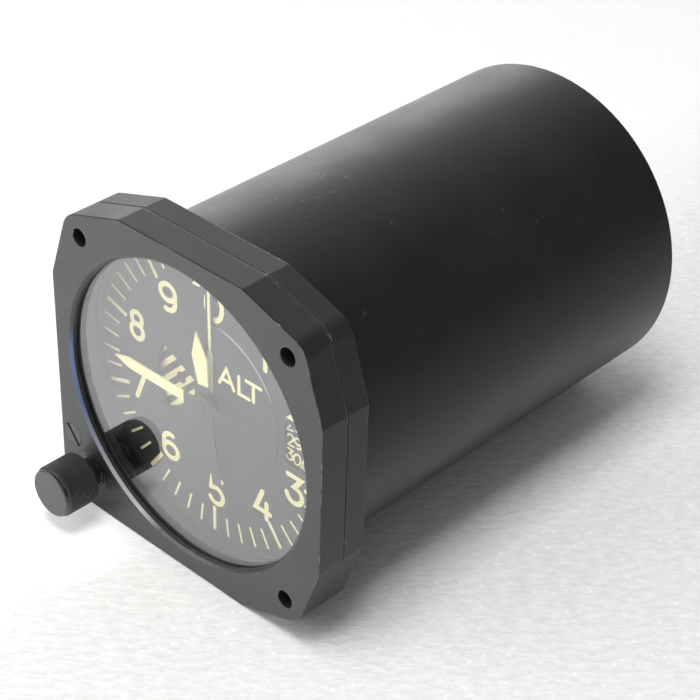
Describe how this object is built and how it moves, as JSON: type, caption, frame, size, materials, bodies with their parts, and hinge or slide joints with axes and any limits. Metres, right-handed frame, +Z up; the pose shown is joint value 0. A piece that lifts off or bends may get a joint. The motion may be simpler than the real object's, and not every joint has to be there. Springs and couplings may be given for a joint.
{
  "type": "aircraft altimeter",
  "caption": "Round-cased sensitive altimeter with a square bezel, three pointers, barometric scale and setting knob, with its aneroid movement inside.",
  "frame": {"origin": "on the case axis at the flange's rear face, which is the panel plane", "axes": "+Y along the case towards its rear, so the dial faces -Y; +Z up towards the dial's zero; +X right as seen from the front"},
  "size_m": [0.0826, 0.1355, 0.0826],
  "materials": {
    "black_paint": "satin black paint",
    "black_anodise": "black anodise",
    "glass": "clear flat glass",
    "rubber": "black rubber",
    "dial_black": "matt black",
    "cream_paint": "cream luminous paint",
    "brass": "machined brass",
    "capsule_alloy": "copper alloy spring sheet",
    "steel": "turned steel",
    "aluminium": "machined aluminium",
    "jewel": "polished red jewel"
  },
  "bodies": {
    "housing": {"case": "black_paint", "flange": "black_paint", "bezel": "black_paint", "knob_bushing": "black_anodise", "retaining_ring": "black_anodise", "cover_glass": "glass", "case_gasket": "rubber", "glass_gasket": "rubber", "shaft_seal": "rubber", "dial": "dial_black", "centre_disc": "dial_black", "front_plate": "brass", "middle_plate": "brass", "rear_plate": "brass", "hairspring_stud": "brass", "lock_screw": "brass", "aneroid_capsules": "capsule_alloy", "hairspring": "capsule_alloy", "bezel_screws": "steel", "pillars": "steel", "plate_screws": "steel", "mechanism_screws": "steel", "capsule_base": "steel", "frame_screws": "steel", "aneroid_frame": "aluminium", "jewel_bearings": "jewel"},
    "knob": {"knob": "black_anodise", "knob_set_screw": "steel", "knob_shaft": "steel", "knob_pinion": "brass"},
    "baro_scale": {"baro_ring": "dial_black"},
    "hundred_hand": {"hundred_foot_pointer": "cream_paint", "pointer_staff": "steel"},
    "first_counter": {"first_arbor": "steel", "first_wheel": "brass"},
    "thousand_hand": {"thousand_foot_pointer": "cream_paint", "thousand_sleeve": "steel", "thousand_wheel": "brass"},
    "second_counter": {"second_arbor": "steel", "second_wheel": "brass"},
    "ten_thousand_hand": {"ten_thousand_foot_pointer": "cream_paint", "ten_thousand_sleeve": "steel", "ten_thousand_wheel": "brass", "warning_flag": "cream_paint"},
    "drive": {"drive_arbor": "steel", "drive_wheel": "brass"},
    "rocker": {"rocking_shaft": "steel", "sector_gear": "brass", "bimetal_arm": "brass", "balance_weight": "steel"},
    "link": {"link": "steel"},
    "capsule_head": {"capsule_head": "brass"}
  },
  "joints": [
    {"name": "hundred_turn", "type": "hinge", "parent": "housing", "child": "hundred_hand", "pos_m": [0, 0, 0], "axis": [0, 1, 0], "range_deg": [-270.01, 7290.01], "deforming": ["hairspring"]},
    {"name": "first_counter_turn", "type": "hinge", "parent": "housing", "child": "first_counter", "pos_m": [-0.00728, 0.004, 0.0042], "axis": [0, 1, 0], "range_deg": [-1822.51, 67.51]},
    {"name": "thousand_turn", "type": "hinge", "parent": "housing", "child": "thousand_hand", "pos_m": [0, 0, 0], "axis": [0, 1, 0], "range_deg": [-27.01, 729.01]},
    {"name": "second_counter_turn", "type": "hinge", "parent": "housing", "child": "second_counter", "pos_m": [0, 0.004, -0.0084], "axis": [0, 1, 0], "range_deg": [-182.26, 6.76]},
    {"name": "ten_thousand_turn", "type": "hinge", "parent": "housing", "child": "ten_thousand_hand", "pos_m": [0, 0, 0], "axis": [0, 1, 0], "range_deg": [-2.71, 72.91]},
    {"name": "drive_turn", "type": "hinge", "parent": "housing", "child": "drive", "pos_m": [0.01572, 0.0148, -0.00502], "axis": [0, 1, 0], "range_deg": [-729.01, 27.01]},
    {"name": "rocker_turn", "type": "hinge", "parent": "housing", "child": "rocker", "pos_m": [-0.015, 0.045, -0.012], "axis": [0, 1, 0], "range_deg": [-1.36, 36.46]},
    {"name": "link_turn", "type": "hinge", "parent": "rocker", "child": "link", "pos_m": [-0.00642, 0.0518, -0.00929], "axis": [0, 1, 0], "range_deg": [-36.46, 1.36]},
    {"name": "capsule_travel", "type": "slide", "parent": "housing", "child": "capsule_head", "axis": [0, 0, -1], "range_m": [-0.00021, 0.00562], "stiffness_N_per_m": 5000, "deforming": ["aneroid_capsules"]},
    {"name": "baro_turn", "type": "hinge", "parent": "housing", "child": "baro_scale", "pos_m": [0, 0, 0], "axis": [0, 1, 0], "range_deg": [-106, 181]},
    {"name": "knob_turn", "type": "hinge", "parent": "housing", "child": "knob", "pos_m": [-0.03137, -0.02, -0.03137], "axis": [0, 1, 0], "range_deg": [-1158.5, 678.5]}
  ],
  "couplings": [
    {"joint": "hundred_turn", "follows": "capsule_travel", "rad_per_m": 22630},
    {"joint": "first_counter_turn", "follows": "capsule_travel", "rad_per_m": -5657.6},
    {"joint": "thousand_turn", "follows": "capsule_travel", "rad_per_m": 2263},
    {"joint": "second_counter_turn", "follows": "capsule_travel", "rad_per_m": -565.76},
    {"joint": "ten_thousand_turn", "follows": "capsule_travel", "rad_per_m": 226.3},
    {"joint": "drive_turn", "follows": "capsule_travel", "rad_per_m": -2263},
    {"joint": "rocker_turn", "follows": "capsule_travel", "rad_per_m": 113.15},
    {"joint": "link_turn", "follows": "capsule_travel", "rad_per_m": -113.15},
    {"joint": "knob_turn", "follows": "baro_turn", "ratio": -6.4}
  ]
}
